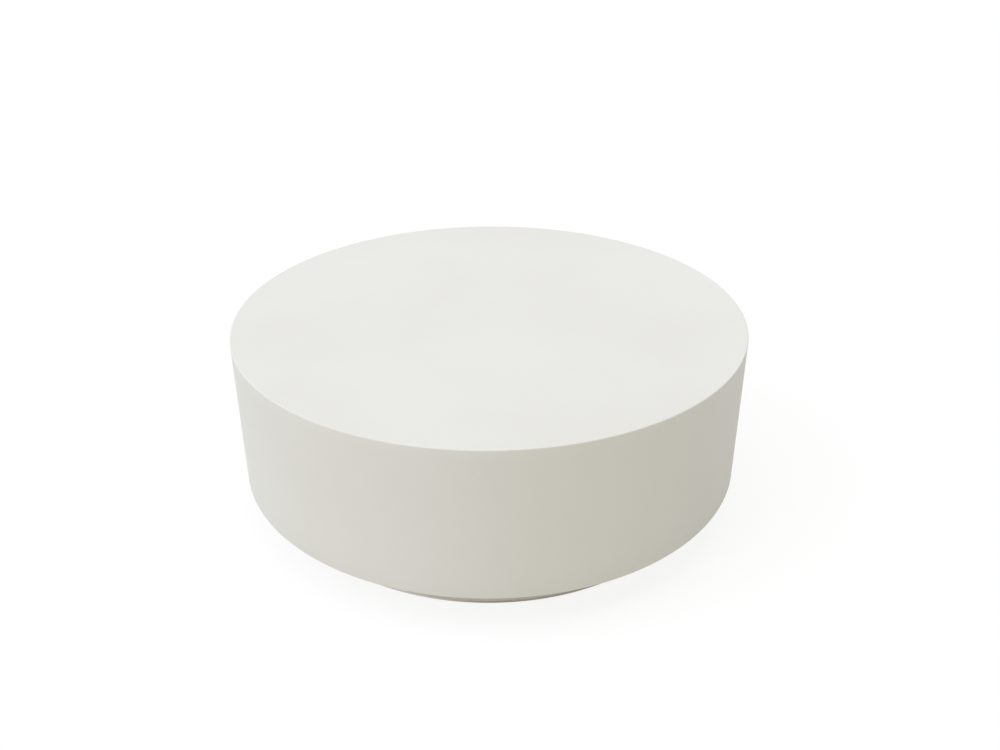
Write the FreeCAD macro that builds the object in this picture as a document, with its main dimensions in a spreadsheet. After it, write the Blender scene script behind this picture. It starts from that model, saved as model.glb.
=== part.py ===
import FreeCAD, Part
import math
import os
import re
import Sketcher
from FreeCAD import Placement, Rotation, Vector

# Round drum coffee table: a hollow drum of bent ply on board formers, standing on a recessed
# plinth with levelling feet. Millimetres, +Z up, the origin on the floor under the middle.

doc = FreeCAD.newDocument("RoundDrumTable")
sheet = doc.addObject("Spreadsheet::Sheet", "Sizes")

sizes = {
    # whole table
    "drum_diameter": 1000,
    "overall_height": 370,
    "plinth_height": 73,
    "plinth_diameter": 850,
    "floor_gap": 3,
    "edge_ease": 2,
    "lower_ease": 1.5,
    # sheet materials
    "top_thickness": 25,
    "board": 16,
    "ply": 5,
    "skirt_ply": 8,
    "glue_line": 0.2,
    "joint_fit": 0.2,
    # carcass inside the drum
    "former_width": 110,
    "upright_depth": 60,
    "upright_count": 8,
    "upright_turn": 22.5,
    "rib_reach": 455,
    "rib_ends": 4,
    # plinth
    "plinth_ring_width": 116,
    "hoop_width": 26,
    # levelling feet
    "foot_count": 6,
    "foot_circle": 350,
    "block_width": 64,
    "stop_gap": 0.5,
    "pad_diameter": 40,
    "pad_height": 10,
    "pad_ease": 1.5,
    "ball_radius": 4.5,
    "ball_level": 6.2,
    "ball_fit": 0.15,
    "socket_mouth": 5.2,
    "socket_throat": 3.9,
    "neck_radius": 3,
    "hexagon_floor": 13,
    "hexagon_height": 7,
    "hexagon_flats": 13,
    "stud_radius": 4,
    "stud_end": 70,
    "stud_point": 0.8,
    "stud_clearance": 0.4,
    "thread_fit": 0.08,
    "nut_flange_radius": 12,
    "nut_flange": 1.6,
    "nut_barrel_radius": 5.25,
    "nut_barrel": 12,
    "nut_fit": 0.1,
    # wood screws and dowels
    "screw_count": 12,
    "plinth_screw_count": 6,
    "screw_radius": 2,
    "countersink_angle": 90,
    "screw_head_radius": 4.5,
    "screw_sink": 0.3,
    "screw_point": 5,
    "screw_fit": 0.1,
    "recess_reach": 2.1,
    "recess_width": 0.9,
    "recess_depth": 1.6,
    "pilot_spare": 1,
    "top_screw": 35,
    "base_screw": 30,
    "plinth_screw": 28,
    "block_screw": 40,
    "top_screw_circle": 435,
    "base_screw_circle": 400,
    "plinth_screw_circle": 323,
    "screw_turn": 15,
    "plinth_screw_turn": 30,
    "block_screw_offset": 20,
    "dowel_count": 4,
    "dowel_radius": 4,
    "dowel_length": 20,
    "dowel_ease": 1,
    "dowel_turn": 30,
}

for row, (alias, number) in enumerate(sizes.items(), start=1):
    sheet.set(f"A{row}", alias)
    sheet.set(f"B{row}", str(number))
    sheet.setAlias(f"B{row}", alias)
doc.recompute()

tolerance = 1e-6
full_turn = "360"
half_turn = "180"
mm3_in_cm3 = 1000

# Levels and radii that follow from the driving sizes.
drum_radius = "(drum_diameter / 2)"
top_seat = "(overall_height - top_thickness)"
carcass_floor = "(plinth_height + board)"
top_former_floor = f"({top_seat} - board)"
middle_former_floor = f"(({carcass_floor} + {top_former_floor}) / 2)"
outer_skin_bore = f"({drum_radius} - ply)"
inner_skin_face = f"({outer_skin_bore} - glue_line)"
inner_skin_bore = f"({inner_skin_face} - ply)"
former_radius = f"({inner_skin_bore} - glue_line)"
former_bore = f"({former_radius} - former_width)"
upright_inner = f"({former_radius} - upright_depth)"
upright_meet = f"({former_radius} - upright_depth / 2)"
housing_half = "((board + joint_fit) / 2)"
skirt_radius = "(plinth_diameter / 2)"
skirt_bore = f"({skirt_radius} - skirt_ply)"
plinth_ring_radius = f"({skirt_bore} - glue_line)"
plinth_ring_floor = "(plinth_height - board)"
hexagon_top = "(hexagon_floor + hexagon_height)"
block_floor = f"({hexagon_top} + stop_gap)"
block_height = f"({plinth_ring_floor} - {block_floor})"
nut_seat = f"({plinth_ring_floor} - nut_flange)"
nut_end = f"({nut_seat} - nut_barrel)"
dowel_floor = f"({top_seat} - dowel_length / 2)"
screw_head_depth = "(screw_head_radius - screw_radius)"


def bound(rule):
    """The rule as an expression that reads the sheet."""
    return re.sub(r"[a-z]\w*", lambda word: f"Sizes.{word[0]}" if word[0] in sizes else word[0], rule)


def value(rule):
    """The rule's number with the sheet as it stands."""
    return float(sheet.evalExpression(str(rule)))


def bind(thing, path, rule):
    thing.setExpression(path, bound(str(rule)))


# Sketches and features.

def new_body(label):
    body = doc.addObject("PartDesign::Body", label)
    body.Label = label
    return body


def datum(body, role):
    return next(item for item in body.Origin.OriginFeatures if item.Role == role)


def new_sketch(body, name, plane="XY_Plane", across="0", up="0", lift="0", turn="0"):
    """A sketch on an origin plane, shifted across and up in that plane, lifted off it and turned in it."""
    sketch = body.newObject("Sketcher::SketchObject", f"{body.Name}_{name}")
    sketch.AttachmentSupport = [(datum(body, plane), "")]
    sketch.MapMode = "FlatFace"
    sketch.AttachmentOffset = Placement(Vector(), Rotation(Vector(0, 0, 1), value(turn)))
    bind(sketch, "AttachmentOffset.Base.x", across)
    bind(sketch, "AttachmentOffset.Base.y", up)
    bind(sketch, "AttachmentOffset.Base.z", lift)
    bind(sketch, "AttachmentOffset.Rotation.Angle", turn)
    return sketch


def hold(sketch, kind, shape, point, rule):
    """Hold one coordinate of a point at the rule's distance from the sketch's origin."""
    size = value(rule)
    if abs(size) < tolerance:
        axis = -2 if kind == "DistanceX" else -1
        sketch.addConstraint(Sketcher.Constraint("PointOnObject", shape, point, axis))
        return
    ends = (-1, 1, shape, point) if size > 0 else (shape, point, -1, 1)
    index = sketch.addConstraint(Sketcher.Constraint(kind, *ends, abs(size)))
    name = f"{kind[-1].lower()}_{shape}_{point}"
    sketch.renameConstraint(index, name)
    bind(sketch, f"Constraints.{name}", rule if size > 0 else f"-({rule})")


def add_circle(sketch, radius, across="0", up="0"):
    middle = Vector(value(across), value(up), 0)
    shape = sketch.addGeometry(Part.Circle(middle, Vector(0, 0, 1), value(radius)))
    index = sketch.addConstraint(Sketcher.Constraint("Radius", shape, value(radius)))
    sketch.renameConstraint(index, f"radius_{shape}")
    bind(sketch, f"Constraints.radius_{shape}", radius)
    hold(sketch, "DistanceX", shape, 3, across)
    hold(sketch, "DistanceY", shape, 3, up)


def add_outline(sketch, corners):
    """A closed outline of straight lines, each corner held at its own two rules."""
    points = [Vector(value(across), value(up), 0) for across, up in corners]
    lines = [sketch.addGeometry(Part.LineSegment(start, end))
             for start, end in zip(points, points[1:] + points[:1])]
    for line, following in zip(lines, lines[1:] + lines[:1]):
        sketch.addConstraint(Sketcher.Constraint("Coincident", line, 2, following, 1))
    for line, (across, up) in zip(lines, corners):
        hold(sketch, "DistanceX", line, 1, across)
        hold(sketch, "DistanceY", line, 1, up)


def add_rectangle(sketch, left, right, low, high):
    add_outline(sketch, [(left, low), (right, low), (right, high), (left, high)])


def pad(body, sketch, length, both_ways=False):
    feature = body.newObject("PartDesign::Pad", f"{sketch.Name}_pad")
    feature.Profile = sketch
    feature.Midplane = both_ways
    bind(feature, "Length", length)
    doc.recompute()
    return feature


def revolve(body, sketch, angle, axis):
    feature = body.newObject("PartDesign::Revolution", f"{sketch.Name}_turned")
    feature.Profile = sketch
    feature.ReferenceAxis = axis
    feature.Midplane = True
    bind(feature, "Angle", angle)
    doc.recompute()
    return feature


def about_z(body):
    return (datum(body, "Z_Axis"), [""])


def must_cut(body, before, what):
    if body.Shape.Volume > before - tolerance:
        raise RuntimeError(f"{what} cuts nothing from {body.Label}")


def pocket(body, sketch, depth, upward, both_ways=False):
    """A cut from the sketch's plane, along the plane's normal if upward."""
    before = body.Shape.Volume
    feature = body.newObject("PartDesign::Pocket", f"{sketch.Name}_cut")
    feature.Profile = sketch
    feature.Reversed = upward
    feature.Midplane = both_ways
    bind(feature, "Length", depth)
    doc.recompute()
    must_cut(body, before, feature.Name)
    return feature


def countersunk(body, sketch, depth, upward):
    """A clearance hole with a countersink for a wood screw's head, sunk a little under the face."""
    before = body.Shape.Volume
    feature = body.newObject("PartDesign::Hole", f"{sketch.Name}_hole")
    feature.Profile = sketch
    doc.recompute()
    feature.Threaded = False
    feature.DepthType = "Dimension"
    feature.DrillPoint = "Flat"
    feature.HoleCutType = "Countersink"
    feature.HoleCutCustomValues = True
    feature.Reversed = upward
    bind(feature, "Diameter", "2 * (screw_radius + 2 * screw_fit)")
    bind(feature, "HoleCutCountersinkAngle", "countersink_angle")
    bind(feature, "HoleCutDiameter", "2 * (screw_head_radius + screw_sink + screw_fit)")
    bind(feature, "Depth", depth)
    doc.recompute()
    must_cut(body, before, feature.Name)
    return feature


def repeat_round(body, features, count):
    """The features repeated round the table's axis."""
    pattern = body.newObject("PartDesign::PolarPattern", f"{features[0].Name}_round")
    pattern.Originals = features
    pattern.Axis = about_z(body)
    bind(pattern, "Angle", full_turn)
    bind(pattern, "Occurrences", count)
    body.Tip = pattern
    doc.recompute()
    return pattern


def round_edges(body, radius, level, ease):
    """Ease the circular edges that lie at one level and radius."""
    base = body.Tip
    names = []
    for index, edge in enumerate(base.Shape.Edges, start=1):
        circle = edge.Curve
        if not isinstance(circle, Part.Circle):
            continue
        if abs(circle.Radius - value(radius)) < tolerance and abs(circle.Center.z - value(level)) < tolerance:
            names.append(f"Edge{index}")
    feature = body.newObject("PartDesign::Fillet", f"{body.Name}_ease")
    feature.Base = (base, names)
    bind(feature, "Radius", ease)
    doc.recompute()
    return feature


# Screw and dowel holes that several boards share.

def pilot_holes(body, name, level, length, circle, count, turned, upward):
    """Blind holes round the table's axis for the screws' threaded ends."""
    sketch = new_sketch(body, name, lift=level, turn=turned)
    add_circle(sketch, "screw_radius + screw_fit", across=circle)
    hole = pocket(body, sketch, f"{length} - board + pilot_spare", upward)
    repeat_round(body, [hole], count)


def screw_holes(body, name, level, circle, count, turned, upward):
    """Countersunk clearance holes round the table's axis, right through a board."""
    sketch = new_sketch(body, name, lift=level, turn=turned)
    add_circle(sketch, "screw_radius", across=circle)
    hole = countersunk(body, sketch, "board", upward)
    repeat_round(body, [hole], count)


def dowel_holes(body, name, level, upward):
    sketch = new_sketch(body, name, lift=level, turn="dowel_turn")
    add_circle(sketch, "dowel_radius + screw_fit", across="top_screw_circle")
    hole = pocket(body, sketch, "dowel_length / 2 + pilot_spare", upward)
    repeat_round(body, [hole], "dowel_count")


# Top and base of the drum.

def top_panel():
    body = new_body("top_panel")
    disc = new_sketch(body, "disc", lift=top_seat)
    add_circle(disc, drum_radius)
    pad(body, disc, "top_thickness")
    round_edges(body, drum_radius, "overall_height", "edge_ease")
    pilot_holes(body, "pilots", top_seat, "top_screw", "top_screw_circle", "screw_count", "screw_turn", True)
    dowel_holes(body, "dowels", top_seat, True)
    return body


def base_panel():
    body = new_body("base_panel")
    disc = new_sketch(body, "disc", lift="plinth_height")
    add_circle(disc, former_radius)
    pad(body, disc, "board")
    screw_holes(body, "screws", "plinth_height", "base_screw_circle", "screw_count", "screw_turn", True)
    pilot_holes(body, "pilots", "plinth_height", "plinth_screw", "plinth_screw_circle",
                "plinth_screw_count", "plinth_screw_turn", True)
    return body


# Carcass inside the drum.

def former(label, floor):
    """A board ring, notched outside for the uprights and housed inside for the ribs."""
    body = new_body(label)
    ring = new_sketch(body, "ring", lift=floor)
    add_circle(ring, former_radius)
    add_circle(ring, former_bore)
    pad(body, ring, "board")
    notch = new_sketch(body, "notch", lift=floor, turn="upright_turn")
    add_rectangle(notch, f"{upright_meet} - joint_fit / 2", drum_radius,
                  f"-{housing_half}", housing_half)
    repeat_round(body, [pocket(body, notch, "board", True)], "upright_count")
    housing = new_sketch(body, "housing", lift=floor)
    add_rectangle(housing, f"{former_bore} - board", "rib_reach + joint_fit",
                  f"-{housing_half}", housing_half)
    repeat_round(body, [pocket(body, housing, "board", True)], "rib_ends")
    return body


def formers():
    top = former("top_former", top_former_floor)
    screw_holes(top, "screws", top_former_floor, "top_screw_circle", "screw_count", "screw_turn", True)
    dowel_holes(top, "dowels", top_seat, False)
    middle = former("middle_former", middle_former_floor)
    bottom = former("bottom_former", carcass_floor)
    pilot_holes(bottom, "pilots", carcass_floor, "base_screw", "base_screw_circle",
                "screw_count", "screw_turn", True)
    return [top, middle, bottom]


def rib(label, plane, slot_low, slot_high):
    """An upright board across the drum, slotted to half its height at the middle."""
    body = new_body(label)
    face = new_sketch(body, "face", plane=plane)
    add_rectangle(face, "-rib_reach", "rib_reach", carcass_floor, top_seat)
    pad(body, face, "board", both_ways=True)
    slot = new_sketch(body, "slot", plane=plane)
    add_rectangle(slot, f"-{housing_half}", housing_half, slot_low, slot_high)
    pocket(body, slot, "2 * board", False, both_ways=True)
    return body


def ribs():
    half_way = f"(({carcass_floor} + {top_seat}) / 2)"
    return [rib("rib_left_right", "XZ_Plane", half_way, f"({top_seat} + board)"),
            rib("rib_front_rear", "YZ_Plane", f"({carcass_floor} - board)", half_way)]


def upright(index):
    """A standing batten whose outer edge meets the skin, with a notch that sits over each former."""
    body = new_body(f"upright_{index + 1}")
    outer = f"({former_radius} - joint_fit / 2)"
    meet = f"({upright_meet} + joint_fit / 2)"
    corners = [(upright_inner, f"{carcass_floor} + board"), (meet, f"{carcass_floor} + board"),
               (meet, carcass_floor), (outer, carcass_floor), (outer, top_seat), (meet, top_seat),
               (meet, top_former_floor), (upright_inner, top_former_floor),
               (upright_inner, f"{middle_former_floor} + board + joint_fit"),
               (meet, f"{middle_former_floor} + board + joint_fit"),
               (meet, middle_former_floor), (upright_inner, middle_former_floor)]
    face = new_sketch(body, "face", plane="XZ_Plane")
    add_outline(face, corners)
    pad(body, face, "board", both_ways=True)
    body.Placement = Placement(Vector(), Rotation(Vector(0, 0, 1), 0))
    bind(body, "Placement.Rotation.Angle", f"upright_turn + {full_turn} / upright_count * {index}")
    return body


def bent_half(label, bore, face, low, high, facing):
    """Half a bent skin, its middle facing the given way round the table's axis."""
    body = new_body(label)
    section = new_sketch(body, "section", plane="XZ_Plane")
    add_rectangle(section, bore, face, low, high)
    revolve(body, section, half_turn, about_z(body))
    body.Placement = Placement(Vector(), Rotation(Vector(0, 0, 1), facing))
    return body


def skins():
    """Two layers, the joints of one a quarter turn from the joints of the other, and the skirt."""
    right, rear, left, front = 0, 90, 180, 270
    low, high = "plinth_height", top_seat
    inner = [bent_half(f"inner_skin_{side}", inner_skin_bore, inner_skin_face, low, high, facing)
             for side, facing in (("left", left), ("right", right))]
    outer = [bent_half(f"outer_skin_{side}", outer_skin_bore, drum_radius, low, high, facing)
             for side, facing in (("front", front), ("rear", rear))]
    for body in outer:
        round_edges(body, drum_radius, low, "lower_ease")
    skirt = [bent_half(f"plinth_skirt_{side}", skirt_bore, skirt_radius, "floor_gap", low, facing)
             for side, facing in (("left", left), ("right", right))]
    for body in skirt:
        round_edges(body, skirt_radius, "floor_gap", "lower_ease")
    return inner + outer + skirt


# Plinth.

def plinth_ring():
    body = new_body("plinth_ring")
    ring = new_sketch(body, "ring", lift=plinth_ring_floor)
    add_circle(ring, plinth_ring_radius)
    add_circle(ring, f"{plinth_ring_radius} - plinth_ring_width")
    pad(body, ring, "board")
    screw_holes(body, "screws", plinth_ring_floor, "plinth_screw_circle", "plinth_screw_count",
                "plinth_screw_turn", True)
    stud_way = new_sketch(body, "stud_way", lift=plinth_ring_floor)
    add_circle(stud_way, "stud_radius + stud_clearance", across="foot_circle")
    repeat_round(body, [pocket(body, stud_way, "board", True)], "foot_count")
    for side in ("", "-"):
        name = "block_screws_b" if side else "block_screws_a"
        sketch = new_sketch(body, name, lift="plinth_height")
        add_circle(sketch, "screw_radius", across="foot_circle", up=f"{side}block_screw_offset")
        repeat_round(body, [countersunk(body, sketch, "board", False)], "foot_count")
    return body


def plinth_hoop():
    body = new_body("plinth_hoop")
    ring = new_sketch(body, "ring", lift="floor_gap")
    add_circle(ring, plinth_ring_radius)
    add_circle(ring, f"{plinth_ring_radius} - hoop_width")
    pad(body, ring, "board")
    return body


# Levelling feet.

def foot_places():
    return [math.tau / sizes["foot_count"] * index for index in range(sizes["foot_count"])]


def stand_at(thing, angle):
    """Place a piece that was made on the table's axis at one foot."""
    reach = sizes["foot_circle"]
    place = Vector(reach * math.cos(angle), reach * math.sin(angle), 0)
    thing.Placement = Placement(place, Rotation(Vector(0, 0, 1), math.degrees(angle)))
    bind(thing, "Placement.Base.x", f"foot_circle * {math.cos(angle):.12f}")
    bind(thing, "Placement.Base.y", f"foot_circle * {math.sin(angle):.12f}")


def leveller_block(index, angle):
    body = new_body(f"leveller_block_{index + 1}")
    face = new_sketch(body, "face", lift=block_floor)
    add_rectangle(face, "-block_width / 2", "block_width / 2", "-block_width / 2", "block_width / 2")
    pad(body, face, block_height)
    flange = new_sketch(body, "flange", lift=plinth_ring_floor)
    add_circle(flange, "nut_flange_radius + nut_fit")
    pocket(body, flange, "nut_flange", False)
    barrel = new_sketch(body, "barrel", lift=plinth_ring_floor)
    add_circle(barrel, "nut_barrel_radius + nut_fit")
    pocket(body, barrel, "nut_flange + nut_barrel", False)
    stud_way = new_sketch(body, "stud_way", lift=block_floor)
    add_circle(stud_way, "stud_radius + stud_clearance")
    pocket(body, stud_way, block_height, True)
    pilots = new_sketch(body, "pilots", lift=plinth_ring_floor)
    for side in ("", "-"):
        add_circle(pilots, "screw_radius + screw_fit", up=f"{side}block_screw_offset")
    pocket(body, pilots, "block_screw - board + pilot_spare", False)
    stand_at(body, angle)
    return body


def leveller_nuts():
    """Six flanged nuts, set into the tops of the blocks before the plinth ring covers them."""
    body = new_body("leveller_nuts")
    section = new_sketch(body, "section", plane="XZ_Plane", across="foot_circle")
    bore = "stud_radius + thread_fit"
    add_outline(section, [(bore, nut_end), ("nut_barrel_radius", nut_end), ("nut_barrel_radius", nut_seat),
                          ("nut_flange_radius", nut_seat), ("nut_flange_radius", plinth_ring_floor),
                          (bore, plinth_ring_floor)])
    nut = revolve(body, section, full_turn, (section, ["V_Axis"]))
    repeat_round(body, [nut], "foot_count")
    return body


def primitive(kind, name, low, **rules):
    """One of the plain solids, standing on the axis at a level, each size bound to its rule."""
    solid = doc.addObject(f"Part::{kind}", name)
    for size, rule in rules.items():
        bind(solid, size, rule)
    bind(solid, "Placement.Base.z", low)
    return solid


def leveller_stud(index, angle):
    """A ball, a neck, a hexagon for the spanner and a long round stud with a chamfered end."""
    label = f"leveller_stud_{index + 1}"
    point = "stud_end - stud_point"
    pieces = [
        primitive("Sphere", f"{label}_ball", "ball_level", Radius="ball_radius"),
        primitive("Cylinder", f"{label}_neck", "ball_level", Radius="neck_radius",
                  Height="hexagon_floor - ball_level"),
        primitive("Prism", f"{label}_hexagon", "hexagon_floor", Circumradius="hexagon_flats / sqrt(3)",
                  Height="hexagon_height"),
        primitive("Cylinder", f"{label}_thread", hexagon_top, Radius="stud_radius",
                  Height=f"{point} - {hexagon_top}"),
        primitive("Cone", f"{label}_point", point, Radius1="stud_radius",
                  Radius2="stud_radius - stud_point", Height="stud_point"),
    ]
    stud = doc.addObject("Part::MultiFuse", label)
    stud.Label = label
    stud.Shapes = pieces
    stand_at(stud, angle)
    return stud


def leveller_pad(index, angle):
    """A round pad with eased edges and a socket that the stud's ball snaps into."""
    label = f"leveller_pad_{index + 1}"
    body = new_body(f"{label}_disc")
    section = new_sketch(body, "section", plane="XZ_Plane")
    rim = "pad_diameter / 2"
    add_outline(section, [("0", "0"), (f"{rim} - pad_ease", "0"), (rim, "pad_ease"),
                          (rim, "pad_height - pad_ease"), (f"{rim} - pad_ease", "pad_height"),
                          ("0", "pad_height")])
    revolve(body, section, full_turn, about_z(body))
    socket = "(ball_radius + ball_fit)"
    throat = f"(ball_level + sqrt({socket} * {socket} - socket_throat * socket_throat))"
    hollows = [
        primitive("Sphere", f"{label}_socket", "ball_level", Radius=socket),
        primitive("Cone", f"{label}_mouth", throat, Radius1="socket_throat", Radius2="socket_mouth",
                  Height=f"pad_height - {throat}"),
    ]
    hollow = doc.addObject("Part::MultiFuse", f"{label}_hollow")
    hollow.Shapes = hollows
    cut = doc.addObject("Part::Cut", label)
    cut.Label = label
    cut.Base = body
    cut.Tool = hollow
    stand_at(cut, angle)
    return cut


# Screws and dowels.

def add_screw(body, name, level, length, circle, sideways, upward):
    """One countersunk wood screw with a cross recess, a straight shank and a point."""
    way = "1" if upward else "-1"
    section = new_sketch(body, f"{name}_section", plane="XZ_Plane", across=circle,
                         up=f"{level} + {way} * screw_sink", lift=sideways)
    reach = f"({length} - screw_sink)"
    add_outline(section, [("0", "0"), ("screw_head_radius", "0"),
                          ("screw_radius", f"{way} * {screw_head_depth}"),
                          ("screw_radius", f"{way} * ({reach} - screw_point)"), ("0", f"{way} * {reach}")])
    shank = revolve(body, section, full_turn, (section, ["V_Axis"]))
    recess = new_sketch(body, f"{name}_recess", across=circle, up=f"-({sideways})",
                        lift=f"{level} + {way} * screw_sink")
    arm = "recess_reach"
    half = "recess_width / 2"
    quarter = [(arm, f"-{half}"), (arm, half), (half, half)]
    corners = []
    for cosine, sine in ((1, 0), (0, 1), (-1, 0), (0, -1)):
        corners += [(f"{cosine} * ({x}) - {sine} * ({y})", f"{sine} * ({x}) + {cosine} * ({y})")
                    for x, y in quarter]
    add_outline(recess, corners)
    return [shank, pocket(body, recess, "recess_depth", upward)]


def screw_ring(label, level, length, circle, count, turned):
    """A group of screws round the table's axis, driven upwards from one level."""
    body = new_body(label)
    screw = add_screw(body, "screw", level, length, circle, "0", True)
    repeat_round(body, screw, count)
    body.Placement = Placement(Vector(), Rotation(Vector(0, 0, 1), value(turned)))
    bind(body, "Placement.Rotation.Angle", turned)
    return body


def block_screws():
    """Two screws through the plinth ring into each block."""
    body = new_body("block_screws")
    pair = []
    for name, sideways in (("first", "block_screw_offset"), ("second", "-block_screw_offset")):
        pair += add_screw(body, name, "plinth_height", "block_screw", "foot_circle", sideways, False)
    repeat_round(body, pair, "foot_count")
    return body


def top_dowels():
    body = new_body("top_dowels")
    section = new_sketch(body, "section", plane="XZ_Plane", across="top_screw_circle", up=dowel_floor)
    add_outline(section, [("0", "0"), ("dowel_radius - dowel_ease", "0"), ("dowel_radius", "dowel_ease"),
                          ("dowel_radius", "dowel_length - dowel_ease"),
                          ("dowel_radius - dowel_ease", "dowel_length"), ("0", "dowel_length")])
    dowel = revolve(body, section, full_turn, (section, ["V_Axis"]))
    repeat_round(body, [dowel], "dowel_count")
    body.Placement = Placement(Vector(), Rotation(Vector(0, 0, 1), value("dowel_turn")))
    bind(body, "Placement.Rotation.Angle", "dowel_turn")
    return body


def fasteners():
    return [
        screw_ring("top_screws", top_former_floor, "top_screw", "top_screw_circle",
                   "screw_count", "screw_turn"),
        screw_ring("base_screws", "plinth_height", "base_screw", "base_screw_circle",
                   "screw_count", "screw_turn"),
        screw_ring("plinth_screws", plinth_ring_floor, "plinth_screw", "plinth_screw_circle",
                   "plinth_screw_count", "plinth_screw_turn"),
        block_screws(),
        top_dowels(),
    ]


def levellers():
    pieces = [leveller_nuts()]
    for index, angle in enumerate(foot_places()):
        pieces += [leveller_block(index, angle), leveller_stud(index, angle), leveller_pad(index, angle)]
    return pieces


sub_parts = [top_panel(), base_panel()] + formers() + ribs()
sub_parts += [upright(index) for index in range(sizes["upright_count"])]
sub_parts += skins() + [plinth_ring(), plinth_hoop()] + levellers() + fasteners()
doc.recompute()

faults = [item.Name for item in doc.Objects if "Invalid" in item.State or "Error" in item.State]
faults += [item.Label for item in sub_parts if item.Shape.isNull() or not item.Shape.isValid()]
if faults:
    raise RuntimeError(f"these did not come out whole: {faults}")

os.makedirs("parts", exist_ok=True)
for item in sub_parts:
    item.Shape.exportStep(os.path.join("parts", f"{item.Label}.step"))
    print(f"{item.Label}: {len(item.Shape.Solids)} solids, {item.Shape.Volume / mm3_in_cm3:.1f} cm3")
print(f"{len(sub_parts)} nodes")
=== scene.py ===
import math

import bmesh
import bpy
from mathutils import Color, Matrix, Vector


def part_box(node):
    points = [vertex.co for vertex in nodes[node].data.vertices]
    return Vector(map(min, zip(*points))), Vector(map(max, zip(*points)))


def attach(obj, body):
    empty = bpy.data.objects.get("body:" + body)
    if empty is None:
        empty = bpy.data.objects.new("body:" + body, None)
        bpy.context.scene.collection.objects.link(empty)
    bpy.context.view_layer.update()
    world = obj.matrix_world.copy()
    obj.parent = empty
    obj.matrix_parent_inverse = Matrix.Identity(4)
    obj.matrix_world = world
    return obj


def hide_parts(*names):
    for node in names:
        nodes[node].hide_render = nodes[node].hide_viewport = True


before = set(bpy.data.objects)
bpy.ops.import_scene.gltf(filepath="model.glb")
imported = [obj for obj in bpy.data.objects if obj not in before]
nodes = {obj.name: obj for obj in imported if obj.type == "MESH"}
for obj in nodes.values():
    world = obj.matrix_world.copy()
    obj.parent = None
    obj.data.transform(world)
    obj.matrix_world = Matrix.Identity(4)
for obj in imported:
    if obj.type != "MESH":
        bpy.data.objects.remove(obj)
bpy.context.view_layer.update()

mm = 0.001
near = 0.01 * mm     # points this close to a circle lie on it
weld = 0.001 * mm    # points this close together are one


# small helpers for modelling

def edit():
    bpy.ops.object.mode_set(mode="EDIT")
    bpy.ops.mesh.select_mode(type="VERT")
    bpy.ops.mesh.select_all(action="DESELECT")


def startCircle(sides, radius, level, fill):
    # a level circle, in edit mode and selected
    bpy.ops.object.select_all(action="DESELECT")
    bpy.ops.mesh.primitive_circle_add(vertices=sides, radius=radius, fill_type=fill)
    edit()
    bpy.ops.mesh.select_all(action="SELECT")
    bpy.ops.transform.translate(value=(0, 0, level))


def startBar(sides, radius, low, high, turn=0.0):
    # an upright bar, in edit mode
    bpy.ops.object.select_all(action="DESELECT")
    bpy.ops.mesh.primitive_cylinder_add(vertices=sides, radius=radius, depth=high - low,
                                        location=(0, 0, (low + high) / 2), rotation=(0, 0, turn))
    bpy.ops.object.transform_apply(location=True, rotation=True, scale=True)
    edit()


def extrude(x, y, z):
    bpy.ops.mesh.extrude_region_move(TRANSFORM_OT_translate={"value": (x, y, z)})


def pick(kind, test):
    # selects the verts, edges or faces of the piece in edit mode that pass the test
    mesh = bmesh.from_edit_mesh(bpy.context.object.data)
    bpy.ops.mesh.select_mode(type=kind)
    bpy.ops.mesh.select_all(action="DESELECT")
    for item in {"VERT": mesh.verts, "EDGE": mesh.edges, "FACE": mesh.faces}[kind]:
        if test(item):
            item.select_set(True)
    mesh.select_flush_mode()
    bmesh.update_edit_mesh(bpy.context.object.data)


def pickLid(way, level=0.99, corners=8):
    # the flat end that looks up, 1, or down, -1, and has more corners than a side face
    pick("FACE", lambda face: face.normal.z * way > level and len(face.verts) > corners)


def easeRim(radius, level, ease, steps):
    # rounds the rim at that radius and level, or chamfers it in one step
    def onRim(point):
        return abs(point.z - level) < near and abs(math.hypot(point.x, point.y) - radius) < near

    pick("EDGE", lambda edge: all(onRim(vert.co) for vert in edge.verts))
    bpy.ops.mesh.bevel(offset=ease, segments=steps, affect="EDGES")


def applyAll():
    piece = bpy.context.object
    for modifier in list(piece.modifiers):
        bpy.ops.object.modifier_apply(modifier=modifier.name)


def combine(piece, others, operation):
    bpy.ops.object.select_all(action="DESELECT")
    piece.select_set(True)
    bpy.context.view_layer.objects.active = piece
    for other in others:
        modifier = piece.modifiers.new("combine", "BOOLEAN")
        modifier.operation = operation
        modifier.solver = "EXACT"
        modifier.object = other
    applyAll()
    for other in others:
        bpy.data.objects.remove(other)


def finishPiece(name, smoothAngle=35):
    # doubles merged, faces outwards, place in the mesh, object at the origin
    bpy.ops.object.mode_set(mode="EDIT")
    bpy.ops.mesh.select_all(action="SELECT")
    bpy.ops.mesh.remove_doubles(threshold=weld)
    bpy.ops.mesh.normals_make_consistent(inside=False)
    bpy.ops.object.mode_set(mode="OBJECT")
    bpy.ops.object.transform_apply(location=True, rotation=True, scale=True)
    bpy.ops.object.shade_smooth_by_angle(angle=math.radians(smoothAngle))
    piece = bpy.context.object
    piece.name = name
    piece.data.name = name
    return piece


def dress(piece, material):
    piece.data.materials.clear()
    piece.data.materials.append(material)


def place(piece, body, slotName, *nodeNames):
    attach(piece, body)
    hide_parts(*nodeNames)


# small helpers for materials

def linear(colour):
    # a colour as the screen shows it, 0 to 255, for a shader's socket
    return (*Color([part / 255 for part in colour]).from_srgb_to_scene_linear(), 1.0)


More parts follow.
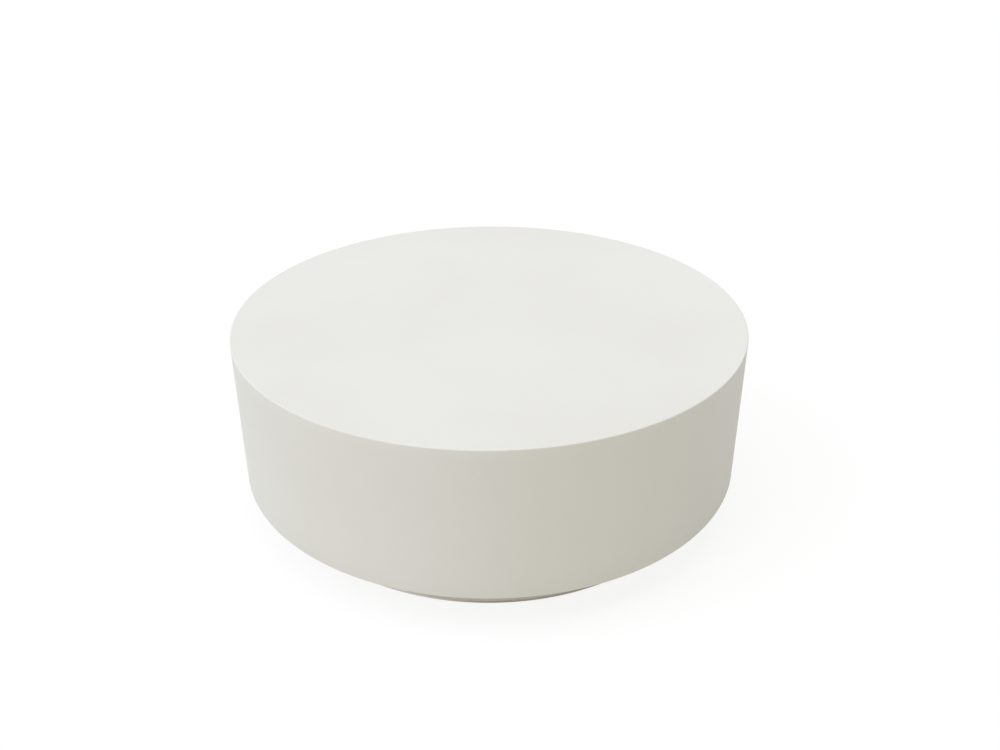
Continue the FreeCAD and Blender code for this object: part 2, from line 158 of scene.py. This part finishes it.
class NodeTree:
    # adds nodes to a material or a world and links them
    mixSockets = {"FLOAT": (2, 3, 0), "VECTOR": (4, 5, 1), "RGBA": (6, 7, 2)}   # first, second, result

    def __init__(self, owner):
        owner.use_nodes = True
        self.nodes = owner.node_tree.nodes
        self.links = owner.node_tree.links

    def fill(self, node, sockets):
        # sets or links a node's inputs, by name or number
        for key, value in sockets.items():
            if isinstance(value, bpy.types.NodeSocket):
                self.links.new(value, node.inputs[key])
            else:
                node.inputs[key].default_value = value
        return node.outputs

    def add(self, kind, sockets, **settings):
        node = self.nodes.new(kind)
        for key, value in settings.items():
            setattr(node, key, value)
        return self.fill(node, sockets)

    def coords(self):
        node = self.nodes.get("Texture Coordinate") or self.nodes.new("ShaderNodeTexCoord")
        return node.outputs["Object"]

    def radius(self):
        flat = self.add("ShaderNodeVectorMath", {0: self.coords(), 1: (1, 1, 0)}, operation="MULTIPLY")[0]
        return self.add("ShaderNodeVectorMath", {0: flat}, operation="LENGTH")["Value"]

    def along(self, axis):
        return self.add("ShaderNodeSeparateXYZ", {0: self.coords()})[axis]

    def noise(self, scale, detail, roughness=0.5, stretch=None):
        where = self.coords()
        if stretch:
            where = self.add("ShaderNodeMapping", {"Vector": where, "Scale": stretch})[0]
        sockets = {"Vector": where, "Scale": scale, "Detail": detail, "Roughness": roughness}
        return self.add("ShaderNodeTexNoise", sockets)[0]

    def weigh(self, values, shares):
        # the values added up, each by its share
        total = 0.0
        for value, share in zip(values, shares):
            total = self.add("ShaderNodeMath", {0: value, 1: share, 2: total}, operation="MULTIPLY_ADD")[0]
        return total

    def spread(self, value, span, reach=(0.0, 1.0)):
        # takes the span to the reach, and stays at its ends beyond
        return self.add("ShaderNodeMapRange", dict(enumerate((value, *span, *reach))))[0]

    def blend(self, share, first, second, kind="RGBA"):
        one, other, result = self.mixSockets[kind]
        return self.add("ShaderNodeMix", {0: share, one: first, other: second}, data_type=kind)[result]

    def bump(self, value, relief, under=None):
        strength, depth = relief
        sockets = {"Strength": strength, "Distance": depth, "Height": value}
        if under is not None:
            sockets["Normal"] = under
        return self.add("ShaderNodeBump", sockets)[0]


# finishes: colours as the screen shows them, patterns per metre, a bump's strength and depth

usualSpan = (0.3, 0.7)   # holds most of a noise's values

lacquer = {
    "pale": (233, 233, 228),
    "deep": (230, 229, 223),
    "drift": {"scale": 2.6, "detail": 4.0},     # of the spray coat's tone
    "swell": {"scale": 95.0, "detail": 2.0},    # slow, under the peel
    "peel": {"scale": 420.0, "detail": 2.0},    # orange peel of the spray
    "roughness": (0.6, 0.7),
    "swellBump": (0.06, 0.4 * mm),
    "peelBump": (0.1, 0.12 * mm),
}


def sprayCoat(tree):
    # each look gives a colour, a roughness and a normal
    drift = tree.spread(tree.noise(**lacquer["drift"]), usualSpan)
    swell = tree.noise(**lacquer["swell"])
    peel = tree.noise(**lacquer["peel"])
    colour = tree.blend(drift, linear(lacquer["pale"]), linear(lacquer["deep"]))
    rough = tree.spread(swell, usualSpan, lacquer["roughness"])
    normal = tree.bump(peel, lacquer["peelBump"], under=tree.bump(swell, lacquer["swellBump"]))
    return colour, rough, normal


board = {
    "dark": (148, 117, 82),
    "light": (178, 148, 111),
    "blotch": {"scale": 24.0, "detail": 5.0},                       # pressing marks
    "fleck": {"scale": 210.0, "detail": 4.0, "roughness": 0.65},    # bundles of fibre
    "fibre": {"scale": 900.0, "detail": 3.0, "roughness": 0.7},
    "shares": (0.25, 0.4, 0.35),                                    # of blotch, fleck and fibre
    "contrast": (0.38, 0.62),
    "roughness": (0.72, 0.9),
    "bump": (0.25, 0.3 * mm),
}


def boardLook(tree):
    blotch, fleck, fibre = [tree.noise(**board[name]) for name in ("blotch", "fleck", "fibre")]
    mixed = tree.weigh((blotch, fleck, fibre), board["shares"])
    colour = tree.blend(tree.spread(mixed, board["contrast"]), linear(board["dark"]), linear(board["light"]))
    return colour, tree.spread(fibre, usualSpan, board["roughness"]), tree.bump(fibre, board["bump"])


ply = {
    "dark": (186, 152, 108),
    "light": (214, 186, 144),
    "grain": {"scale": 240.0, "detail": 4.0, "roughness": 0.6, "stretch": (1, 1, 0.06)},
    "pores": {"scale": 1440.0, "detail": 2.0, "stretch": (1, 1, 0.04)},
    "shares": (0.7, 0.3),                                           # of grain and pores
    "contrast": (0.38, 0.62),
    "roughness": (0.6, 0.8),
    "bump": (0.2, 0.3 * mm),
}


def plyLook(tree):
    grain, pores = [tree.noise(**ply[name]) for name in ("grain", "pores")]
    mixed = tree.weigh((grain, pores), ply["shares"])
    colour = tree.blend(tree.spread(mixed, ply["contrast"]), linear(ply["dark"]), linear(ply["light"]))
    return colour, tree.spread(grain, usualSpan, ply["roughness"]), tree.bump(pores, ply["bump"])


zinc = {
    "dull": (176, 178, 182),
    "bright": (205, 207, 208),
    "stain": {"scale": 260.0, "detail": 4.0},
    "scratch": {"scale": 1500.0, "detail": 2.0, "stretch": (1, 1, 0.1)},
    "roughness": (0.26, 0.42),
    "bump": (0.08, 0.1 * mm),
    "metallic": 1.0,
}


def zincLook(tree):
    stain = tree.spread(tree.noise(**zinc["stain"]), usualSpan)
    scratch = tree.noise(**zinc["scratch"])
    colour = tree.blend(stain, linear(zinc["dull"]), linear(zinc["bright"]))
    return colour, tree.spread(scratch, usualSpan, zinc["roughness"]), tree.bump(scratch, zinc["bump"])


nylon = {
    "dark": (62, 63, 66),
    "worn": (84, 85, 88),
    "mould": {"scale": 700.0, "detail": 3.0},   # grain of the mould
    "wear": {"scale": 60.0, "detail": 5.0},
    "wearSpan": (0.35, 0.7),
    "roughness": (0.42, 0.6),
    "bump": (0.12, 0.1 * mm),
}


def nylonLook(tree):
    wear = tree.noise(**nylon["wear"])
    mould = tree.noise(**nylon["mould"])
    colour = tree.blend(tree.spread(wear, nylon["wearSpan"]), linear(nylon["dark"]), linear(nylon["worn"]))
    return colour, tree.spread(wear, usualSpan, nylon["roughness"]), tree.bump(mould, nylon["bump"])


beech = {
    "dark": (190, 152, 108),
    "light": (214, 180, 138),
    "grain": {"scale": 420.0, "detail": 4.0, "stretch": (1, 1, 0.08)},
    "contrast": (0.35, 0.65),
    "roughness": (0.55, 0.7),
    "bump": (0.1, 0.2 * mm),
}


def beechLook(tree):
    grain = tree.noise(**beech["grain"])
    colour = tree.blend(tree.spread(grain, beech["contrast"]), linear(beech["dark"]), linear(beech["light"]))
    return colour, tree.spread(grain, usualSpan, beech["roughness"]), tree.bump(grain, beech["bump"])


def makeFinish(name, look, metallic=0.0):
    material = bpy.data.materials.new(name)
    tree = NodeTree(material)
    colour, rough, normal = look(tree)
    tree.fill(tree.nodes["Principled BSDF"],
              {"Base Color": colour, "Roughness": rough, "Normal": normal, "Metallic": metallic})
    return material


def partlySprayed(name, rawLook, mask):
    # the coat where the mask is 1, bare wood where it is 0
    def look(tree):
        share = mask(tree)
        layers = zip(rawLook(tree), sprayCoat(tree), ("RGBA", "FLOAT", "VECTOR"))
        return [tree.blend(share, raw, coat, kind) for raw, coat, kind in layers]

    return makeFinish(name, look)


whiteLacquer = makeFinish("whiteLacquer", sprayCoat)
bareBoard = makeFinish("bareBoard", boardLook)
bareBeech = makeFinish("bareBeech", beechLook)
zincPlate = makeFinish("zincPlate", zincLook, zinc["metallic"])
greyNylon = makeFinish("greyNylon", nylonLook)
print("finishes mixed")


# drum: the top board and the bent wall, sprayed as one

drum = {
    "segments": 360,             # round the drum, and the plinth too
    "topEase": 2 * mm,
    "lowerEase": 1.5 * mm,
    "easeSteps": 6,
    "flatRim": 2 * mm,           # keeps the flat flat beside the eased edge
    "topRings": 5,
    "topRingWidth": 80.8 * mm,
    "wall": 5 * mm,
    "wallRings": 6,
}


def makeTopBoard():
    low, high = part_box("top_panel")
    startCircle(drum["segments"], high.x, low.z, "NGON")
    extrude(0, 0, high.z - low.z)
    bpy.ops.mesh.select_all(action="SELECT")
    bpy.ops.mesh.normals_make_consistent(inside=False)
    easeRim(high.x, high.z, drum["topEase"], drum["easeSteps"])
    pickLid(1)
    bpy.ops.mesh.inset(thickness=drum["flatRim"])
    for ring in range(drum["topRings"]):
        bpy.ops.mesh.inset(thickness=drum["topRingWidth"])
    bpy.ops.mesh.poke()
    return finishPiece("topBoard")


def makeHoopWall(name, radius, thickness, low, high, ease):
    # a bent wall: a circle drawn up in steps, thickened inwards, its outer lower edge eased
    startCircle(drum["segments"], radius, low, "NOTHING")
    for ring in range(drum["wallRings"]):
        extrude(0, 0, (high - low) / drum["wallRings"])
    bpy.ops.mesh.select_all(action="SELECT")
    bpy.ops.mesh.normals_make_consistent(inside=False)
    bpy.ops.object.mode_set(mode="OBJECT")
    wall = bpy.context.object.modifiers.new("thickness", "SOLIDIFY")
    wall.thickness = thickness
    wall.offset = -1.0
    wall.use_even_offset = True
    applyAll()
    edit()
    easeRim(radius, low, ease, drum["easeSteps"])
    return finishPiece(name)


def makeDrum():
    top = makeTopBoard()
    dress(top, whiteLacquer)
    place(top, "table", "white_lacquer", "top_panel")
    low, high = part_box("outer_skin_front")
    wall = makeHoopWall("drumWall", high.x, drum["wall"], low.z, high.z, drum["lowerEase"])
    dress(wall, whiteLacquer)
    place(wall, "table", "white_lacquer", "outer_skin_front", "outer_skin_rear")
    print("drum:", len(top.data.polygons), "+", len(wall.data.polygons), "faces")


makeDrum()


# plinth: the skirt, sprayed outside and bare inside, and the spray on the wood beside it

plinth = {
    "skirt": 8 * mm,
    "ease": 1.5 * mm,
    "coatEnd": (6 * mm, 3 * mm),             # depths in the skirt, bare at the first, coated at the second
    "overspray": 14 * mm,                    # of the coat on the base panel, in from the skirt's outside
    "skinCoatEnd": (0.2 * mm, 0.6 * mm),     # heights up the inner skins, coated at the first
}


def makePlinth():
    low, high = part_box("plinth_skirt_left")
    radius = -low.y
    skirt = makeHoopWall("plinthSkirt", radius, plinth["skirt"], low.z, high.z, plinth["ease"])
    skirtFade = [radius - depth for depth in plinth["coatEnd"]]
    dress(skirt, partlySprayed("skirtCoat", plyLook, lambda tree: tree.spread(tree.radius(), skirtFade)))
    place(skirt, "table", "white_lacquer", "plinth_skirt_left", "plinth_skirt_right")
    panelFade = (radius - plinth["overspray"], radius)
    panelCoat = partlySprayed("undersideCoat", boardLook, lambda tree: tree.spread(tree.radius(), panelFade))
    dress(nodes["base_panel"], panelCoat)
    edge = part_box("inner_skin_left")[0].z
    skinFade = [edge + height for height in plinth["skinCoatEnd"]]
    skinCoat = partlySprayed("innerSkinEdge", plyLook,
                             lambda tree: tree.spread(tree.along("Z"), skinFade, (1.0, 0.0)))
    for side in ("left", "right"):
        dress(nodes[f"inner_skin_{side}"], skinCoat)
    print("plinth: skirt", len(skirt.data.polygons), "faces")


makePlinth()


# the inside, which keeps the CAD's shapes: finishes by the start of a node's name

inside = (
    (bareBoard, ("top_former", "middle_former", "bottom_former", "rib", "upright",
                 "plinth_ring", "plinth_hoop", "leveller_block")),
    (zincPlate, ("leveller_nuts", "top_screws", "base_screws", "plinth_screws", "block_screws")),
    (bareBeech, ("top_dowels",)),
)


def dressInside():
    for finish, starts in inside:
        matching = [node for name, node in nodes.items() if name.startswith(starts)]
        for node in matching:
            dress(node, finish)
        print("inside:", len(matching), "nodes in", finish.name)


dressInside()


# levelling feet: a threaded stud with a hexagon and a ball, and its pad

stud = {
    "pitch": 1.25 * mm,
    "crest": 4.0 * mm,
    "root": 3.3 * mm,
    "flank": 0.42,               # shares of the pitch
    "crestFlat": 0.16,
    "turnSteps": 28,
    "spareTurns": 2,             # at each end, cut away
    "endChamfer": 0.8 * mm,
    "endSpare": 0.05 * mm,       # keeps the trimming bar clear of the crests
    "endSides": 56,
    "hexagonLow": 13 * mm,
    "hexagonHigh": 20 * mm,
    "hexagonFlats": 13 * mm,
    "hexagonEase": 0.5 * mm,
    "hexagonEaseSteps": 2,
    "neckRadius": 3.0 * mm,
    "ballRadius": 4.5 * mm,
    "ballLevel": 6.2 * mm,
    "ballSegments": 40,
    "ballRings": 24,
    "overlap": 1 * mm,           # of the neck and the thread with the hexagon
    "smoothAngle": 30,
}


def makeThread(low, high):
    # one pitch of the tooth, screwed up the axis, then cut square at both ends
    pitch, depth = stud["pitch"], stud["crest"] - stud["root"]
    bpy.ops.object.select_all(action="DESELECT")
    bpy.ops.mesh.primitive_plane_add(size=1)
    edit()
    bpy.ops.mesh.select_all(action="SELECT")
    bpy.ops.mesh.merge(type="CENTER")
    bpy.ops.transform.translate(value=(stud["root"], 0, low - stud["spareTurns"] * pitch))
    for across, up in ((depth, stud["flank"]), (0, stud["crestFlat"]), (-depth, stud["flank"])):
        extrude(across, 0, up * pitch)
    bpy.ops.object.mode_set(mode="OBJECT")
    helix = bpy.context.object.modifiers.new("helix", "SCREW")
    helix.axis = "Z"
    helix.angle = 2 * math.pi
    helix.screw_offset = pitch
    helix.iterations = math.ceil((high - low) / pitch) + 2 * stud["spareTurns"]
    helix.steps = stud["turnSteps"]
    helix.render_steps = stud["turnSteps"]
    applyAll()
    edit()
    bpy.ops.mesh.select_all(action="SELECT")
    bpy.ops.mesh.remove_doubles(threshold=weld)
    for level, below in ((low, True), (high, False)):
        bpy.ops.mesh.select_all(action="SELECT")
        bpy.ops.mesh.bisect(plane_co=(0, 0, level), plane_no=(0, 0, 1), use_fill=True, threshold=weld,
                            clear_inner=below, clear_outer=not below)
    return finishPiece("threadBlank")


def makeTrimmingBar(low, high):
    # a plain bar with a chamfered end, which the thread is cut to
    radius = stud["crest"] + stud["endSpare"]
    startBar(stud["endSides"], radius, low, high)
    easeRim(radius, high, stud["endChamfer"] + stud["endSpare"], 1)
    return finishPiece("trimmingBar")


def makeHexagon():
    startBar(6, stud["hexagonFlats"] / math.sqrt(3), stud["hexagonLow"], stud["hexagonHigh"], math.pi / 6)
    pick("EDGE", lambda edge: abs(edge.verts[0].co.z - edge.verts[1].co.z) < near)
    bpy.ops.mesh.bevel(offset=stud["hexagonEase"], segments=stud["hexagonEaseSteps"], affect="EDGES")
    return finishPiece("hexagonBlank")


def makeBallAndNeck():
    radius, level = stud["ballRadius"], stud["ballLevel"]
    bpy.ops.object.select_all(action="DESELECT")
    bpy.ops.mesh.primitive_uv_sphere_add(segments=stud["ballSegments"], ring_count=stud["ballRings"],
                                         radius=radius, location=(0, 0, level))
    bpy.ops.object.transform_apply(location=True, rotation=True, scale=True)
    edit()
    seat = level + math.sqrt(radius ** 2 - stud["neckRadius"] ** 2)   # where the neck leaves the ball
    pick("VERT", lambda vert: vert.co.z > seat)
    bpy.ops.mesh.delete(type="VERT")
    pick("EDGE", lambda edge: edge.is_boundary)
    extrude(0, 0, stud["hexagonLow"] + stud["overlap"] - seat)
    bpy.ops.mesh.edge_face_add()
    return finishPiece("ballBlank")


def makeStud():
    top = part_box("leveller_stud_1")[1].z
    shoulder = stud["hexagonHigh"] - stud["overlap"]
    thread = makeThread(shoulder, top + stud["pitch"])
    combine(thread, [makeTrimmingBar(shoulder - stud["overlap"], top)], "INTERSECT")
    hexagon = makeHexagon()
    combine(hexagon, [makeBallAndNeck(), thread], "UNION")
    return finishPiece("studPattern", stud["smoothAngle"])


pad = {
    "segments": 72,
    "ease": 1.4 * mm,
    "easeSteps": 4,
    "mouthRadius": 5.2 * mm,
    "throatRadius": 3.9 * mm,
    "ballFit": 0.15 * mm,        # gap all round the ball
    "socketRings": 7,
    "socketEnd": 170,            # degrees from straight up, where the hollow's floor begins
    "grooves": 2,                # in the sole, for grip
    "grooveSpacing": 3.6 * mm,
    "grooveDepth": 0.6 * mm,
    "grooveWidth": 1.2 * mm,
}


def makePad():
    low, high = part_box("leveller_pad_1")
    radius, height = (high.x - low.x) / 2, high.z
    startBar(pad["segments"], radius, 0, height)
    for level in (0, height):
        easeRim(radius, level, pad["ease"], pad["easeSteps"])
    # the socket: a flared mouth, then rings down a hollow that clears the ball
    pickLid(1)
    bpy.ops.mesh.inset(thickness=radius - pad["ease"] - pad["mouthRadius"])
    hollow = stud["ballRadius"] + pad["ballFit"]
    throat, end = math.asin(pad["throatRadius"] / hollow), math.radians(pad["socketEnd"])
    across, level = pad["mouthRadius"], height
    for ring in range(pad["socketRings"] + 1):
        angle = throat + (end - throat) * ring / pad["socketRings"]
        nextAcross = hollow * math.sin(angle)
        nextLevel = stud["ballLevel"] + hollow * math.cos(angle)
        extrude(0, 0, nextLevel - level)
        bpy.ops.transform.resize(value=(nextAcross / across, nextAcross / across, 1))
        across, level = nextAcross, nextLevel
    # the grooves in the sole
    pickLid(-1)
    for groove in range(pad["grooves"]):
        bpy.ops.mesh.inset(thickness=pad["grooveSpacing"])
        extrude(0, 0, pad["grooveDepth"])
        bpy.ops.mesh.inset(thickness=pad["grooveWidth"])
        extrude(0, 0, -pad["grooveDepth"])
    return finishPiece("padPattern")


def copyTo(pattern, name, middle, turn):
    piece = pattern.copy()
    piece.data = pattern.data.copy()
    piece.name = name
    piece.data.name = name
    piece.data.transform(Matrix.Translation(middle) @ Matrix.Rotation(turn, 4, "Z"))
    bpy.context.scene.collection.objects.link(piece)
    return piece


def makeFeet():
    footCount = sum(name.startswith("leveller_pad_") for name in nodes)
    studPattern = makeStud()
    padPattern = makePad()
    kinds = (
        (studPattern, "footStud", "foot_stud", "zinc_steel", "leveller_stud", zincPlate),
        (padPattern, "footPad", "foot_pad", "grey_nylon", "leveller_pad", greyNylon),
    )
    for index in range(1, footCount + 1):
        low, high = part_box(f"leveller_pad_{index}")
        middle = Vector(((low.x + high.x) / 2, (low.y + high.y) / 2, 0))
        turn = math.atan2(middle.y, middle.x)
        for pattern, name, body, slotName, node, finish in kinds:
            piece = copyTo(pattern, f"{name}{index}", middle, turn)
            dress(piece, finish)
            place(piece, f"{body}_{index}", slotName, f"{node}_{index}")
    for pattern in (studPattern, padPattern):
        print("foot pattern:", pattern.name, len(pattern.data.polygons), "faces")
        bpy.data.objects.remove(pattern)


makeFeet()


# floor, light and camera

def seenRays(tree):
    # 1 on rays that the viewer sees, straight or by way of metal or glass
    rays = tree.add("ShaderNodeLightPath", {})
    seen = rays["Is Camera Ray"]
    for name in ("Is Glossy Ray", "Is Transmission Ray"):
        seen = tree.add("ShaderNodeMath", {0: seen, 1: rays[name]}, operation="MAXIMUM")[0]
    return seen


floor = {
    "size": 60.0,
    "bounce": (202, 202, 194),                  # tone that the floor throws up on the sides
    "seen": (114, 114, 114),                    # tone in the picture, which a glow lifts
    "openGlow": (0.85, 0.85, 0.85, 1.0),        # round the table, so that only a faint shadow shows
    "paintedGapShade": (0.235, 0.207, 0.18, 1.0),     # painted shade in the gap under the plinth
    "paintedGapLight": (0.46, 0.43, 0.4, 1.0),          # painted light on the gap under its left side, where the window reaches
    "foot": (0.4246, 0.4254),                   # radii between which the plinth's foot ends, and the painted shade under it gives way to the open glow
    "lit": (-0.12, -0.01),                      # places from left to right between which the painted light on the gap gives way to the painted shade
}


def makeFloor():
    bpy.ops.object.select_all(action="DESELECT")
    bpy.ops.mesh.primitive_plane_add(size=floor["size"])
    ground = bpy.context.object
    ground.name = "floor"
    material = bpy.data.materials.new("paleFloor")
    tree = NodeTree(material)
    tree.nodes.remove(tree.nodes["Principled BSDF"])
    matt = tree.add("ShaderNodeBsdfDiffuse", {"Color": linear(floor["bounce"])})[0]
    pale = tree.add("ShaderNodeBsdfDiffuse", {"Color": linear(floor["seen"])})[0]
    # painted shade in the gap under the plinth's foot, lighter on its left side by painted light where the
    # window reaches
    under = tree.blend(tree.spread(tree.along("X"), floor["lit"]), floor["paintedGapLight"], floor["paintedGapShade"])
    glowAndPaintedShade = tree.blend(tree.spread(tree.radius(), floor["foot"]), under, floor["openGlow"])
    glow = tree.add("ShaderNodeEmission", {"Color": glowAndPaintedShade})[0]
    lifted = tree.add("ShaderNodeAddShader", {0: pale, 1: glow})[0]
    mixed = tree.add("ShaderNodeMixShader", {0: seenRays(tree), 1: matt, 2: lifted})[0]
    tree.fill(tree.nodes["Material Output"], {"Surface": mixed})
    dress(ground, material)


dome = {"light": (1.0, 1.0, 1.0, 1.0), "strength": 0.6, "seen": (1.0, 1.0, 1.0, 1.0)}


def makeDome():
    world = bpy.data.worlds.new("studio")
    bpy.context.scene.world = world
    tree = NodeTree(world)
    light = tree.fill(tree.nodes["Background"], {"Color": dome["light"], "Strength": dome["strength"]})[0]
    white = tree.add("ShaderNodeBackground", {"Color": dome["seen"]})[0]
    mixed = tree.add("ShaderNodeMixShader", {0: seenRays(tree), 1: light, 2: white})[0]
    tree.fill(tree.nodes["World Output"], {"Surface": mixed})


lamps = {
    # bearing from the viewer's side, left negative, and height and spread, in degrees
    "window": {"bearing": -75.0, "height": 42.0, "spread": 50.0, "strength": 1.258,
               "colour": (0.846, 0.881, 1.0)},
    "ceiling": {"bearing": 0.0, "height": 89.0, "spread": 50.0, "strength": 0.5,
                "colour": (1.0, 1.0, 0.94)},
    "front": {"bearing": 0.0, "height": 20.0, "spread": 40.0, "strength": 0.173,
              "colour": (1.0, 0.58, 0.06)},
}


def makeLamps():
    for name, lamp in lamps.items():
        data = bpy.data.lights.new(name, "SUN")
        data.energy = lamp["strength"]
        data.angle = math.radians(lamp["spread"])
        data.color = lamp["colour"]
        piece = bpy.data.objects.new(name, data)
        piece.rotation_euler = (math.radians(90 - lamp["height"]), 0, math.radians(lamp["bearing"]))
        bpy.context.scene.collection.objects.link(piece)


camera = {
    "distance": 2.1213,                 # from the table's axis, metres
    "aimHeight": 0.1867,
    "tilt": 29.357,                     # degrees below the horizon
    "roll": -0.367,
    "lens": 37.096,
    "sensor": 36.0,
    "picture": (1000, 750),
    "middlePixel": (489.43, 395.34),    # where the aim falls in the picture
}


def makeCamera():
    data = bpy.data.cameras.new("viewer")
    data.lens = camera["lens"]
    data.sensor_width = camera["sensor"]
    wide, tall = camera["picture"]
    across, down = camera["middlePixel"]
    data.shift_x = (wide / 2 - across) / wide
    data.shift_y = (down - tall / 2) / wide
    piece = bpy.data.objects.new("viewer", data)
    tilt = math.radians(camera["tilt"])
    piece.location = (0, -camera["distance"] * math.cos(tilt),
                      camera["aimHeight"] + camera["distance"] * math.sin(tilt))
    piece.rotation_mode = "ZYX"
    piece.rotation_euler = (math.pi / 2 - tilt, 0, math.radians(camera["roll"]))
    bpy.context.scene.collection.objects.link(piece)
    bpy.context.scene.camera = piece


makeFloor()
makeDome()
makeLamps()
makeCamera()
bpy.context.scene.view_settings.view_transform = "Standard"
print("stage set")
